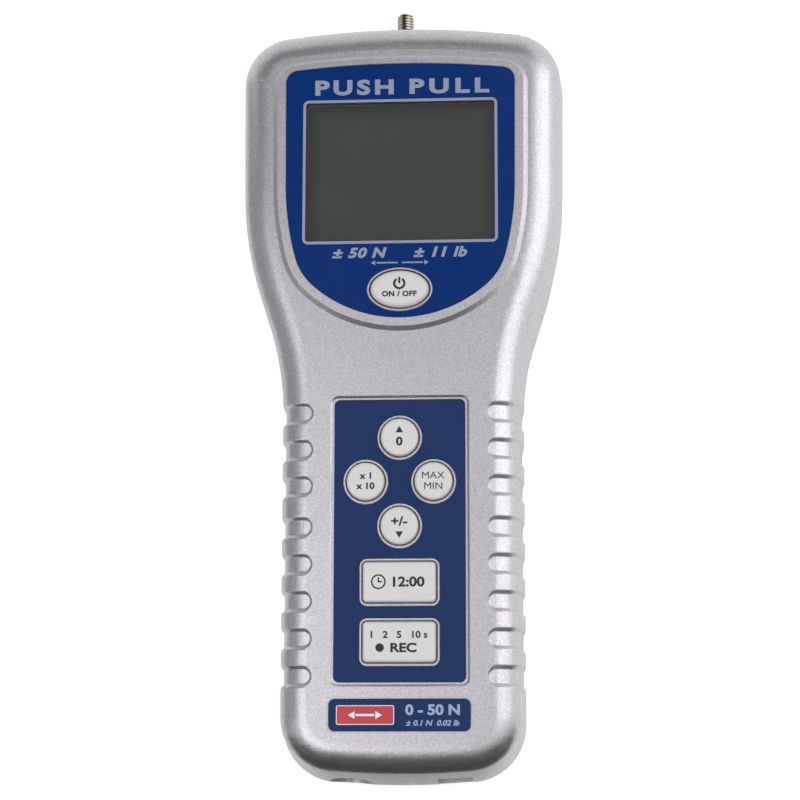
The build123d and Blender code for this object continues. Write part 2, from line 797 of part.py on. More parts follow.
# ---------------------------------------------------------------- upper board
head_start = view_mid - frame_size[1] / 2 - frame_wall
with BuildPart() as upper_board:
    with BuildSketch(Plane.XY.offset(upper_board_z)):
        with Locations((0, along((upper_board_start + head_start + board_corner) / 2))):
            Rectangle(upper_board_width, head_start + board_corner - upper_board_start)
        with Locations((0, along((head_start + upper_board_end) / 2))):
            Rectangle(upper_board_head, upper_board_end - head_start)
    extrude(amount=board_thick)
    fillet(upper_board.edges().filter_by(Axis.Z), board_corner)
    column(places(upper_posts), small_screw + 2 * pass_clear, upper_board_z, upper_board_top, Mode.SUBTRACT)
save(upper_board, "upper_board")

with BuildPart() as upper_board_screws:
    screw(places(upper_posts), small_screw, small_head, upper_board_z, upper_board_top + small_screw_grip)
save(upper_board_screws, "upper_board_screws")


# ---------------------------------------------------------------- lower board and its parts
with BuildPart() as lower_board:
    with BuildSketch(Plane.XY.offset(lower_board_z)):
        with Locations((0, along((lower_board_step + lower_board_end) / 2))):
            Rectangle(lower_board_width, lower_board_end - lower_board_step)
        with Locations((0, along((lower_board_start + lower_board_step) / 2))):
            Rectangle(lower_board_tail, lower_board_step - lower_board_start)
    extrude(amount=board_thick)
    column(places(lower_posts), small_screw + 2 * pass_clear, lower_board_z, lower_board_top, Mode.SUBTRACT)
save(lower_board, "lower_board")

with BuildPart() as lower_board_screws:
    screw(places(lower_posts), small_screw, small_head, lower_board_top, lower_board_z - small_screw_grip)
save(lower_board_screws, "lower_board_screws")

with BuildPart() as board_header:
    with BuildSketch(Plane.XY.offset(lower_board_top)):
        with Locations((0, along(header_at))):
            Rectangle(header_size[0], header_size[1])
    extrude(amount=upper_board_z - lower_board_top)
save(board_header, "board_header")

with BuildPart() as processor_chips:
    for x, distance, width in chips:
        with BuildSketch(Plane.XY.offset(lower_board_top)):
            with Locations((x, along(distance))):
                Rectangle(width + 2 * chip_lead, width - 2 * chip_lead)
                Rectangle(width - 2 * chip_lead, width + 2 * chip_lead)
        extrude(amount=chip_thick / 4)
        with BuildSketch(Plane.XY.offset(lower_board_top)):
            with Locations((x, along(distance))):
                Rectangle(width, width)
        extrude(amount=chip_thick)
save(processor_chips, "processor_chips")

with BuildPart() as capacitors:
    cans = [(x, along(distance)) for x, distance in capacitors_at]
    column(cans, capacitor_size[0], lower_board_top, lower_board_top + capacitor_size[1])
save(capacitors, "capacitors")

with BuildPart() as buzzer:
    at = [(buzzer_at[0], along(buzzer_at[1]))]
    column(at, buzzer_size[0], lower_board_top, lower_board_top + buzzer_size[1])
    column(at, pinhole, lower_board_top + buzzer_size[1] / 2, lower_board_top + buzzer_size[1], Mode.SUBTRACT)
save(buzzer, "buzzer")

reset_face = port_face
with BuildPart() as reset_switch:
    with BuildSketch(Plane.XY.offset(lower_board_top)):
        with Locations((0, along(reset_face + reset_size[1] / 2))):
            Rectangle(reset_size[0], reset_size[1])
    extrude(amount=reset_z - lower_board_top + reset_size[0] / 2)
    with BuildSketch(cross_plane(reset_face)):
        with Locations((0, reset_z)):
            Circle(reset_nub + stud_clear)
    extrude(amount=-2 * reset_size[1] / 3, mode=Mode.SUBTRACT)
save(reset_switch, "reset_switch")

with BuildPart() as reset_plunger:
    with BuildSketch(cross_plane(reset_face - 2 * reset_stroke)):
        with Locations((0, reset_z)):
            Circle(reset_nub)
    extrude(amount=-(2 * reset_size[1] / 3 + 2 * reset_stroke - reset_stroke - rest_gap))
save(reset_plunger, "reset_plunger")

with BuildPart() as serial_jack:
    with BuildSketch(Plane.XY.offset(lower_board_top)):
        with Locations((-port_x, along(port_face + serial_size[1] / 2))):
            Rectangle(serial_size[0], serial_size[1])
    extrude(amount=port_height)
    with BuildSketch(cross_plane(port_face - jack_collar_long)):
        with Locations((-port_x, port_z)):
            Circle(jack_collar / 2)
    extrude(amount=-jack_collar_long)
    with BuildSketch(cross_plane(port_face - jack_collar_long)):
        with Locations((-port_x, port_z)):
            Circle(jack_bore / 2)
    extrude(amount=-jack_depth, mode=Mode.SUBTRACT)
save(serial_jack, "serial_jack")

with BuildPart() as power_jack:
    with BuildSketch(Plane.XY.offset(lower_board_top)):
        with Locations((port_x, along(port_face + power_size[1] / 2))):
            Rectangle(power_size[0], power_size[1])
    extrude(amount=port_height)
    with BuildSketch(cross_plane(port_face)):
        with Locations((port_x, port_z)):
            Circle(power_bore / 2)
    extrude(amount=-power_depth, mode=Mode.SUBTRACT)
save(power_jack, "power_jack")

with BuildPart() as power_pin:
    with BuildSketch(cross_plane(port_face + 1)):
        with Locations((port_x, port_z)):
            Circle(power_pin_size / 2)
    extrude(amount=-(power_depth - 1))
    fillet(power_pin.edges().sort_by(Axis.Y)[0], power_pin_size / 4)
save(power_pin, "power_pin")

card_mid = card_recess + card_size[1] / 2
socket_end = card_recess + card_size[1] + card_gap + socket_wall
with BuildPart() as card_socket:
    with BuildSketch(Plane.XY.offset(socket_z)):
        with Locations((0, along((socket_start + socket_end) / 2))):
            Rectangle(card_size[0] + 2 * (card_gap + 2 * socket_wall), socket_end - socket_start)
    extrude(amount=socket_height)
    with BuildSketch(cross_plane(socket_start)):
        with Locations((0, slot_z)):
            Rectangle(card_size[0] + 2 * card_gap, card_size[2] + 2 * card_gap)
    extrude(amount=-(socket_end - socket_wall - socket_start), mode=Mode.SUBTRACT)
save(card_socket, "card_socket")

with BuildPart() as memory_card:
    with BuildSketch(Plane.XY.offset(card_z)):
        with Locations((0, along(card_mid))):
            Rectangle(card_size[0], card_size[1])
    extrude(amount=card_size[2])
    inner_corner = (card_size[0] / 2, along(card_recess + card_size[1]), slot_z)
    chamfer(memory_card.edges().filter_by(Axis.Z).sort_by_distance(inner_corner)[0], card_corner)
save(memory_card, "memory_card")


# ---------------------------------------------------------------- load cell and its bracket
bar_y = along(bar_mid)
gauge_out = bar_size[1] / 2 + gauge_size[2] / 2
web_cut = bar_size[1] - 2 * flexure
with BuildPart() as load_cell:
    with BuildSketch(Plane.XY.offset(bar_z)):
        with Locations((0, bar_y)):
            Rectangle(bar_size[0], bar_size[1])
        with Locations([(side * flexure_at, bar_y) for side in (1, -1)]):
            SlotOverall(2 * flexure_half + web_cut, web_cut, mode=Mode.SUBTRACT)
    extrude(amount=bar_size[2])
    for side in (1, -1):
        ends = [(side * bar_screws[0] / 2, bar_y + step * bar_screws[1] / 2) for step in (1, -1)]
        column(ends, case_screw + 2 * pass_clear, bar_z, bar_z + bar_size[2], Mode.SUBTRACT)
    with BuildSketch(cross_plane(bar_far - stud_seat - stop_gap)):
        with Locations((0, stud_z)):
            Circle(stud_diameter / 2 + stud_clear)
    extrude(amount=-(stud_seat + stop_gap), mode=Mode.SUBTRACT)
save(load_cell, "load_cell")

with BuildPart() as strain_gauges:
    for side in (1, -1):
        for face in (1, -1):
            with Locations((side * flexure_at, bar_y + face * gauge_out, stud_z)):
                Box(gauge_size[0], gauge_size[2], gauge_size[1])
save(strain_gauges, "strain_gauges")

pad_at = bar_size[0] / 2 - bracket_pad[0] / 2
with BuildPart() as load_cell_bracket:
    with BuildSketch(Plane.XY.offset(bracket_z)):
        with Locations((0, along(bracket_mid))):
            Rectangle(bracket_size[0], bracket_size[1])
    extrude(amount=bracket_size[2])
    with BuildSketch(Plane.XY.offset(bracket_z)):
        with Locations([(side * pad_at, bar_y) for side in (1, -1)]):
            Rectangle(bracket_pad[0], bracket_pad[1])
    extrude(amount=bar_z - bracket_z)
    with BuildSketch(Plane.XY.offset(bracket_z)):
        with Locations((0, along(bar_near - lug_gap - lug_size[1] / 2))):
            Rectangle(lug_size[0], lug_size[1])
    extrude(amount=stud_z + lug_size[0] / 2 - bracket_z)
    with BuildSketch(cross_plane(bar_near)):
        with Locations((0, stud_z)):
            Circle(stop_diameter / 2 + thread_clear)
    extrude(amount=lug_gap + lug_size[1] + 1, mode=Mode.SUBTRACT)
    for side in (1, -1):
        ends = [(side * bar_screws[0] / 2, bar_y + step * bar_screws[1] / 2) for step in (1, -1)]
        column(ends, case_thread, bracket_z, bar_z, Mode.SUBTRACT)
    column(bracket_posts, small_screw + 2 * pass_clear, bracket_z, bracket_top, Mode.SUBTRACT)
save(load_cell_bracket, "load_cell_bracket")

with BuildPart() as load_cell_screws:
    for side in (1, -1):
        ends = [(side * bar_screws[0] / 2, bar_y + step * bar_screws[1] / 2) for step in (1, -1)]
        screw(ends, case_screw, case_head, bar_z + bar_size[2], bracket_z)
save(load_cell_screws, "load_cell_screws")

with BuildPart() as bracket_screws:
    screw(bracket_posts, small_screw, small_head, bracket_top, bracket_z - small_screw_grip)
save(bracket_screws, "bracket_screws")

with BuildPart() as overload_stop:
    lug_back = bar_near - lug_gap - lug_size[1]
    with BuildSketch(cross_plane(lug_back)):
        with Locations((0, stud_z)):
            Circle(stop_diameter / 2)
    extrude(amount=-(lug_size[1] + lug_gap - stop_gap))
    with BuildSketch(cross_plane(lug_back)):
        with Locations((0, stud_z)):
            RegularPolygon(stop_head[0] / 2, 6)
    extrude(amount=stop_head[1])
save(overload_stop, "overload_stop")

with BuildPart() as sensing_stud:
    with BuildSketch(cross_plane(bar_far - stud_seat)):
        with Locations((0, stud_z)):
            Circle(stud_diameter / 2)
    extrude(amount=-(stud_seat + bar_drop + stud_reach))
    chamfer(sensing_stud.edges().sort_by(Axis.Y)[-1], stud_tip)
    with BuildSketch(cross_plane(bar_far + stop_gap + nut_thick)):
        with Locations((0, stud_z)):
            Circle(stud_shank / 2)
    extrude(amount=-(bar_drop - stop_gap - nut_thick + stud_shoulder))
save(sensing_stud, "sensing_stud")

with BuildPart() as stud_nut:
    with BuildSketch(cross_plane(bar_far + stop_gap)):
        with Locations((0, stud_z)):
            RegularPolygon(nut_across / sqrt(3), 6)
            Circle(stud_diameter / 2 + thread_clear, mode=Mode.SUBTRACT)
    extrude(amount=-nut_thick)
save(stud_nut, "stud_nut")

with BuildPart() as stand_inserts:
    column(insert_posts, insert_diameter, 0, insert_long)
    column(insert_posts, insert_bore, 0, insert_long, Mode.SUBTRACT)
save(stand_inserts, "stand_inserts")

plug_far = plug_at[1] + plug_size[1] / 2
plug_z = lower_board_top + plug_size[2] / 2
with BuildPart() as cable_plug:
    with BuildSketch(Plane.XY.offset(lower_board_top)):
        with Locations((plug_at[0], along(plug_at[1]))):
            Rectangle(plug_size[0], plug_size[1])
    extrude(amount=plug_size[2])
save(cable_plug, "cable_plug")

straight = (bar_near - plug_far) / 3
cable_points = (
    (cable_start[0], along(bar_near), cable_start[1]),
    (cable_start[0], along(bar_near - straight), cable_start[1]),
    (plug_at[0], along(plug_far + straight), plug_z),
    (plug_at[0], along(plug_far), plug_z),
)
with BuildPart() as gauge_cable:
    with BuildLine() as cable_route:
        FilletPolyline(cable_points, radius=cable_bend)
    with BuildSketch(cross_plane(bar_near)):
        with Locations(cable_points[0][::2]):
            Circle(cable / 2)
    sweep(path=cable_route.wire())
save(gauge_cable, "gauge_cable")


# ---------------------------------------------------------------- batteries
def cell_y(index):
    """Y of one cell's axis."""
    return along(bay_start + (index + 0.5) * cell_pitch)


inside_half = bay_half - contact_thick
for index in range(cell_count):
    cap_side = 1 if index % 2 == 0 else -1
    body_half = (cell_length - cell_nub[1]) / 2
    body_mid = cap_side * (inside_half - rest_gap / 2 - cell_nub[1] - body_half)
    with BuildPart() as battery:
        with BuildSketch(Plane.YZ.offset(body_mid - body_half)):
            with Locations((cell_y(index), cell_z)):
                Circle(cell_radius)
        extrude(amount=2 * body_half)
        fillet(battery.edges(), 0.5)
        with BuildSketch(Plane.YZ.offset(body_mid + cap_side * body_half)):
            with Locations((cell_y(index), cell_z)):
                Circle(cell_nub[0] / 2)
        extrude(amount=cap_side * cell_nub[1])
    save(battery, f"battery_{index + 1}")

with BuildPart() as battery_springs:
    for index in range(cell_count):
        spring_side = -1 if index % 2 == 0 else 1
        with BuildSketch(Plane.YZ.offset(spring_side * inside_half)):
            with Locations((cell_y(index), cell_z)):
                Circle(spring_wide / 2)
        extrude(amount=-spring_side * (spring_length - rest_gap), taper=25)
save(battery_springs, "battery_springs")

with BuildPart() as battery_contacts:
    for side in (1, -1):
        plate_x = side * (bay_half - contact_thick / 2)
        for index in range(cell_count):
            with Locations((plate_x, cell_y(index), cell_z)):
                Box(contact_thick, contact_size[0], contact_size[1])
    tab_z = cell_z + contact_size[1] / 2
    with BuildSketch(Plane.XY.offset(tab_z)):
        with Locations(tab_places):
            Rectangle(tab_size[1], tab_size[0])
    extrude(amount=lower_board_z - tab_z)
save(battery_contacts, "battery_contacts")

with BuildPart() as battery_door:
    with BuildSketch():
        add(door_outline(door_gap))
    extrude(amount=door_thick - rest_gap)
    column(door_screws, small_head[0] + 2 * pass_clear, 0, small_head[1] + thread_clear, Mode.SUBTRACT)
    column(door_screws, small_screw + 2 * pass_clear, 0, door_thick, Mode.SUBTRACT)
    with BuildSketch():
        with Locations([(0, bay_mid + bay_long / 2 - step * door_rib_pitch) for step in range(1, 6)]):
            SlotOverall(bay_half, door_rib_depth * 2)
    extrude(amount=door_rib_depth, mode=Mode.SUBTRACT)
save(battery_door, "battery_door")

with BuildPart() as battery_door_screws:
    screw(door_screws, small_screw, small_head, small_head[1], bay_foot[1] + small_screw)
save(battery_door_screws, "battery_door_screws")

with BuildPart() as case_screws:
    screw(places(case_posts), case_screw, case_head, case_head_seat, parting_z + case_screw_grip)
save(case_screws, "case_screws")
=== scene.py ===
from math import cos, hypot, pi, radians, sin

import bmesh
import bpy
from mathutils import Matrix, Vector


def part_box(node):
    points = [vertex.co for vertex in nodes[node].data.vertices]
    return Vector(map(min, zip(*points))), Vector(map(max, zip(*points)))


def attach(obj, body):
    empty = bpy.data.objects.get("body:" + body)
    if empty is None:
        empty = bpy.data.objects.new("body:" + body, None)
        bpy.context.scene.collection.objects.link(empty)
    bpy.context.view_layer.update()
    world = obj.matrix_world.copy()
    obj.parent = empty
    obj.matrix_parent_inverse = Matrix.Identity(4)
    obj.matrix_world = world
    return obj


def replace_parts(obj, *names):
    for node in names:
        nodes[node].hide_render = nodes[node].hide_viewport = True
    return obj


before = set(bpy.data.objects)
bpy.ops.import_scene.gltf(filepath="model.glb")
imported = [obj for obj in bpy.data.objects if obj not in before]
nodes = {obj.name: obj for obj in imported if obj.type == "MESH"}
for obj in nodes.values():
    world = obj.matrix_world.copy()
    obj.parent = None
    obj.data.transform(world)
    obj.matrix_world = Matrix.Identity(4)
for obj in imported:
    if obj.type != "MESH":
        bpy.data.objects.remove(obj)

# Hand-held digital force gauge, lying on its back. Blender works in metres; sizes here are
# in millimetres and MM turns them into metres.
MM = 0.001
VIEW_WIDTH, VIEW_HEIGHT = 52.7, 39.8    # the part of the display that shows
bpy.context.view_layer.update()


# ---------------------------------------------------------------- materials
def linear(code):
    """Linear RGBA of an sRGB hex colour."""
    parts = [int(code[i:i + 2], 16) / 255 for i in (0, 2, 4)]
    return tuple(c / 12.92 if c <= 0.04045 else ((c + 0.055) / 1.055) ** 2.4 for c in parts) + (1.0,)


def add(tree, kind, inputs=None, **settings):
    """Adds a node, gives it its settings, and links or sets its inputs."""
    made = tree.nodes.new("ShaderNode" + kind)
    for name, value in settings.items():
        setattr(made, name, value)
    for socket, value in (inputs or {}).items():
        if isinstance(value, bpy.types.NodeSocket):
            tree.links.new(value, made.inputs[socket])
        else:
            made.inputs[socket].default_value = value
    return made


def start(name, **values):
    """A new material with its Principled shader, whose uniform values are set on its sockets."""
    material = bpy.data.materials.new(name)
    material.use_nodes = True
    tree = material.node_tree
    shader = tree.nodes["Principled BSDF"]
    for socket, value in values.items():
        shader.inputs[socket.replace("_", " ")].default_value = value
    return material, tree, shader


def grained(name, low, high, grain_mm, rough, bump_mm, stretch=(1, 1, 1), **values):
    """A finish whose colour, roughness and surface follow one noise of a real grain size."""
    material, tree, shader = start(name, **values)
    place = add(tree, "Mapping", {"Vector": add(tree, "TexCoord").outputs["Object"], "Scale": stretch})
    noise = add(tree, "TexNoise", {"Vector": place.outputs[0], "Scale": 1 / (grain_mm * MM),
                                   "Detail": 3.0})
    colour = add(tree, "ValToRGB", {"Fac": noise.outputs["Fac"]})
    ramp = colour.color_ramp.elements
    ramp[0].position, ramp[1].position = 0.35, 0.65
    ramp[0].color, ramp[1].color = linear(low), linear(high)
    dull = add(tree, "MapRange", {"Value": noise.outputs["Fac"], "To Min": rough[0], "To Max": rough[1]})
    relief = add(tree, "Bump", {"Height": noise.outputs["Fac"], "Strength": 1.0,
                                "Distance": bump_mm * MM})
    tree.links.new(colour.outputs[0], shader.inputs["Base Color"])
    tree.links.new(dull.outputs[0], shader.inputs["Roughness"])
    tree.links.new(relief.outputs[0], shader.inputs["Normal"])
    return material


def silver_lacquer():
    """Sprayed silver lacquer on moulded ABS: aluminium flakes in a clear binder. It gives a soft,
    broad gleam with a fine sparkle. The flakes are about 0.05 mm; they are drawn at 0.22 mm so
    that the sparkle shows."""
    material, tree, shader = start("silver_lacquer_on_abs", Metallic=0.92)
    place = add(tree, "TexCoord").outputs["Object"]
    flakes = add(tree, "TexVoronoi", {"Vector": place, "Scale": 1 / (0.22 * MM)})
    spread = add(tree, "SeparateColor", {"Color": flakes.outputs["Color"]})
    mist = add(tree, "TexNoise", {"Vector": place, "Scale": 1 / (9.0 * MM), "Detail": 2.0})
    colour = add(tree, "MixRGB", {"Fac": spread.outputs[0], "Color1": linear("bab7bc"),
                                  "Color2": linear("dddade")})
    dull = add(tree, "MapRange", {"Value": spread.outputs[1], "To Min": 0.28, "To Max": 0.4})
    drift = add(tree, "Math", {0: mist.outputs["Fac"], 1: 0.04}, operation="MULTIPLY_ADD")
    tree.links.new(dull.outputs[0], drift.inputs[2])
    relief = add(tree, "Bump", {"Height": spread.outputs[2], "Strength": 0.6, "Distance": 0.03 * MM})
    tree.links.new(colour.outputs[0], shader.inputs["Base Color"])
    tree.links.new(drift.outputs[0], shader.inputs["Roughness"])
    tree.links.new(relief.outputs[0], shader.inputs["Normal"])
    return material


silver = silver_lacquer()

# Printed films. Gloss-overprinted polycarbonate: deep blue with a clear, slightly soft shine.
gloss_film = grained("gloss_blue_film", "012a68", "022c6b", 6.0, (0.16, 0.2), 0.001,
                     Specular_IOR_Level=0.15)
# Matt textured polycarbonate: a greyer blue that spreads its shine.
matt_film = grained("matt_blue_film", "112b5a", "142e5e", 0.4, (0.42, 0.5), 0.004,
                    Specular_IOR_Level=0.18)
# Silver screen-printing ink: flat bluish grey with hardly any metal shine of its own.
silver_ink = grained("silver_printing_ink", "888ea7", "8e94ad", 0.5, (0.45, 0.55), 0.002,
                     Metallic=0.15)
# Plain screen-printing inks: flat, even and matt.
pale_ink = grained("pale_blue_printing_ink", "8f9dbf", "95a3c5", 0.5, (0.45, 0.55), 0.002)
black_ink = grained("black_printing_ink", "1a191b", "1e1d1f", 0.5, (0.4, 0.5), 0.002)
white_ink = grained("white_printing_ink", "dcdade", "e2e0e4", 0.5, (0.4, 0.5), 0.002)
red_ink = grained("red_printing_ink", "b3303a", "b9353f", 0.5, (0.35, 0.45), 0.002)

# Rubbers. Moulded silicone with a sprayed satin topcoat: warm off-white, soft highlights.
key_rubber = grained("topcoated_silicone", "cecbcc", "d2cfd0", 0.5, (0.36, 0.44), 0.003,
                     Subsurface_Weight=0.08, Subsurface_Scale=0.0006)
# Moulded silicone without a topcoat: dull warm grey.
mat_rubber = grained("plain_silicone", "5a5452", "5e5856", 0.6, (0.5, 0.6), 0.005)
# Silicone in thin conducting and insulating layers: dark and finely banded.
strip = grained("striped_conducting_rubber", "26262a", "4c4c52", 0.12, (0.5, 0.6), 0.002)

# Plastics. Moulded acrylic that spreads light: milky, half gloss.
diffuser = grained("diffusing_acrylic", "d3dad4", "dbe1dc", 3.0, (0.3, 0.4), 0.001)
# Nylon from a spark-eroded mould: black, dull and finely pebbled.
nylon = grained("black_moulded_nylon", "17171a", "202024", 0.35, (0.4, 0.55), 0.006)
# Glass-fibre laminate under a sprayed solder mask: green, half gloss, with the weave just showing.
board = grained("solder_masked_fibreglass", "0b4a26", "10572f", 0.9, (0.28, 0.4), 0.004)
# Epoxy moulded round a chip: near black, matt and gritty.
chip = grained("black_moulding_epoxy", "1a1a1c", "242427", 0.2, (0.5, 0.62), 0.004)
# Moulded card shell: black with an even satin.
card_black = grained("moulded_card_plastic", "141416", "1b1b1e", 0.3, (0.38, 0.5), 0.004)
# Extruded soft vinyl: plain grey, dull.
vinyl = grained("grey_vinyl_sheath", "6b6b6e", "747477", 1.0, (0.45, 0.55), 0.004)
# Shrunk printed film round a cell: dark, smooth and fairly glossy.
sleeve = grained("printed_shrink_sleeve", "20242a", "262b32", 2.0, (0.22, 0.3), 0.002)
# Etched foil on a thin amber film: coppery brown, half gloss.
foil = grained("strain_gauge_foil", "a9762f", "c08b41", 0.15, (0.3, 0.4), 0.002)

# Metals. Deep-drawn aluminium: bright and a little soft.
can = grained("drawn_aluminium_can", "bfc1c5", "c9cbce", 1.5, (0.25, 0.35), 0.002, Metallic=1.0)
# Nickel plated on brass: bright with a warm tinge.
nickel = grained("bright_nickel_plate", "c9c4ba", "d2cdc3", 1.2, (0.16, 0.26), 0.002, Metallic=1.0)
# Zinc plated on steel: cooler and duller.
zinc = grained("zinc_plated_steel", "aaaaae", "bcbcc0", 0.8, (0.3, 0.42), 0.003, Metallic=1.0)
# Stainless steel from the lathe: bright, warm grey, with fine tool marks.
steel = grained("turned_stainless_steel", "bdb5ab", "cdc5bb", 0.25, (0.13, 0.2), 0.002, Metallic=1.0)
# Aluminium from the milling cutter: pale, with its marks drawn out along X.
milled = grained("milled_aluminium", "c4c6c8", "d2d4d6", 0.25, (0.28, 0.4), 0.004,
                 stretch=(0.08, 1, 1), Metallic=1.0)
# Brass with a rolled knurl: yellow, with a rough glint.
brass = grained("knurled_brass", "b8954c", "c7a45a", 0.4, (0.25, 0.38), 0.006, Metallic=1.0)
# Nickelled spring steel strip: smooth and bright.
spring_steel = grained("nickelled_spring_steel", "c6c6c8", "d3d3d5", 0.6, (0.22, 0.3), 0.002,
                       Metallic=1.0)


def liquid_crystal(middle_y, inner=4.4, outer=0.6):
    """Liquid-crystal cell under a polariser: dark green-grey with a very faint unevenness. Painted
    shade darkens it at its sides and head, from inner mm inside the view's edge to outer mm outside,
    standing in for the shadow of the window's edge."""
    material, tree, shader = start("liquid_crystal_cell", Roughness=0.33, Specular_IOR_Level=0.1)
    place = add(tree, "TexCoord").outputs["Object"]
    axes = add(tree, "SeparateXYZ", {"Vector": place})
    aside = add(tree, "Math", {0: axes.outputs["X"]}, operation="ABSOLUTE")
    ahead = add(tree, "Math", {0: axes.outputs["Y"], 1: middle_y * MM}, operation="SUBTRACT")
    # painted shade: the colour turns near black towards the view's sides and head
    painted_edge_shades = [add(tree, "MapRange", {"Value": off.outputs[0], "From Min": (size / 2 - inner) * MM,
                                    "From Max": (size / 2 + outer) * MM},
                 interpolation_type="SMOOTHSTEP").outputs[0]
             for off, size in ((aside, VIEW_WIDTH), (ahead, VIEW_HEIGHT))]
    shade = add(tree, "Math", {0: painted_edge_shades[0], 1: painted_edge_shades[1]}, operation="MAXIMUM")
    cloud = add(tree, "TexNoise", {"Vector": place, "Scale": 1 / (14 * MM)})
    uneven = add(tree, "MapRange", {"Value": cloud.outputs["Fac"], "To Min": -0.06, "To Max": 0.06})
    # painted shade of the window's edge, plus the cell's faint unevenness
    depth = add(tree, "Math", {0: shade.outputs[0], 1: uneven.outputs[0]}, operation="ADD")
    # the near-black second colour is the painted shade
    colour = add(tree, "MixRGB", {"Fac": depth.outputs[0], "Color1": linear("2e3a32"),
                                  "Color2": linear("020303")})
    tree.links.new(colour.outputs[0], shader.inputs["Base Color"])
    return material


def cast_acrylic():
    """Clear cast acrylic sheet with a coat against glare: it hardly gleams, with a faint veil of
    wipe marks."""
    material, tree, shader = start("clear_cast_acrylic", IOR=1.49, Transmission_Weight=1.0,
                                   Specular_IOR_Level=0.04)
    place = add(tree, "Mapping", {"Vector": add(tree, "TexCoord").outputs["Object"],
                                  "Scale": (1, 0.2, 1)})
    veil = add(tree, "TexNoise", {"Vector": place.outputs[0], "Scale": 1 / (12 * MM), "Detail": 2.0})
    dull = add(tree, "MapRange", {"Value": veil.outputs["Fac"], "To Min": 0.0, "To Max": 0.004})
    tree.links.new(dull.outputs[0], shader.inputs["Roughness"])
    return material


acrylic = cast_acrylic()
window_low, window_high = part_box("display_window")
view_y = (window_low.y + window_high.y) / 2 / MM

finishes = {
    "front_shell": silver, "rear_shell": silver, "battery_door": silver,
    "display_window": acrylic, "display_label": gloss_film, "keypad_label": matt_film,
    "name_label": matt_film, "keypad_mat": mat_rubber, "lcd_glass": liquid_crystal(view_y),
    "lcd_backlight": diffuser, "lcd_connector_strips": strip, "lcd_frame": nylon,
    "upper_board": board, "lower_board": board, "upper_board_screws": zinc,
    "lower_board_screws": zinc, "board_header": nylon, "processor_chips": chip, "capacitors": can,
    "buzzer": nylon, "reset_switch": nylon, "reset_plunger": nylon, "serial_jack": nylon,
    "power_jack": nylon, "power_pin": nickel, "card_socket": nickel, "memory_card": card_black,
    "load_cell": milled, "strain_gauges": foil, "load_cell_bracket": zinc,
    "load_cell_screws": zinc, "bracket_screws": zinc, "overload_stop": zinc,
    "sensing_stud": steel, "stud_nut": steel, "stand_inserts": brass, "gauge_cable": vinyl,
    "cable_plug": diffuser, "battery_springs": spring_steel, "battery_contacts": spring_steel,
    "battery_door_screws": zinc, "case_screws": zinc,
}
finishes.update({f"battery_{number}": sleeve for number in range(1, 7)})
finishes.update({name: key_rubber for name in nodes if name.endswith("_key")})
for name, thing in nodes.items():
    thing.data.materials.clear()
    thing.data.materials.append(finishes[name])


# ---------------------------------------------------------------- pieces
def keep(bm, name, material, body):
    """Turns a bmesh into a piece that rides on a body."""
    mesh = bpy.data.meshes.new(name)
    bm.to_mesh(mesh)
    bm.free()
    mesh.materials.append(material)
    made = bpy.data.objects.new(name, mesh)
    bpy.context.scene.collection.objects.link(made)
    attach(made, body)
    return made


def lift(bm, faces, height):
    """Extrudes faces upwards into a closed slab, height mm thick."""
    made = bmesh.ops.extrude_face_region(bm, geom=faces)["geom"]
    top = [v for v in made if isinstance(v, bmesh.types.BMVert)]
    bmesh.ops.translate(bm, vec=(0, 0, height * MM), verts=top)


def join(bm, part, x, y, z, turn=0.0):
    """Copies a small bmesh into a larger one, turned and moved to its place."""
    bmesh.ops.recalc_face_normals(part, faces=part.faces)
    place = Matrix.Translation((x * MM, y * MM, z * MM)) @ Matrix.Rotation(turn, 4, "Z")
    bmesh.ops.transform(part, matrix=place, verts=part.verts)
    scratch = bpy.data.meshes.new("scratch")
    part.to_mesh(scratch)
    part.free()
    bm.from_mesh(scratch)
    bpy.data.meshes.remove(scratch)


INK_THICK = 0.03            # height of a printed shape
INK_SEAT = 0.008            # depth that it is sunk into what carries it
CAPITAL = 0.69              # height of a capital, as a share of the lettering's size


def hollow(bm, line):
    """Leaves only a border, line mm wide, of a flat shape."""
    inner = bm.faces[:]
    bmesh.ops.inset_region(bm, faces=inner, thickness=line * MM, use_boundary=True,
                           use_even_offset=True)
    bmesh.ops.delete(bm, geom=inner, context="FACES")


def plate(width, height, corner=0.0, line=None):
    """A thin rounded rectangle, or only its border where the line's width is given."""
    bm = bmesh.new()
    bmesh.ops.create_grid(bm, x_segments=1, y_segments=1, size=0.5 * MM)
    bmesh.ops.scale(bm, vec=(width, height, 1), verts=bm.verts)
    if corner:
        bmesh.ops.bevel(bm, geom=bm.verts[:], offset=corner * MM, offset_type="OFFSET",
                        affect="VERTICES", segments=6, profile=0.5, material=-1)
    if line:
        hollow(bm, line)
    lift(bm, bm.faces[:], INK_THICK)
    return bm


def disc(radius, line=None, sides=48, thick=INK_THICK):
    """A thin disc, a ring where the line's width is given, or a triangle where it has three sides."""
    bm = bmesh.new()
    bmesh.ops.create_circle(bm, cap_ends=True, segments=sides, radius=radius * MM)
    if line:
        hollow(bm, line)
    lift(bm, bm.faces[:], thick)
    return bm


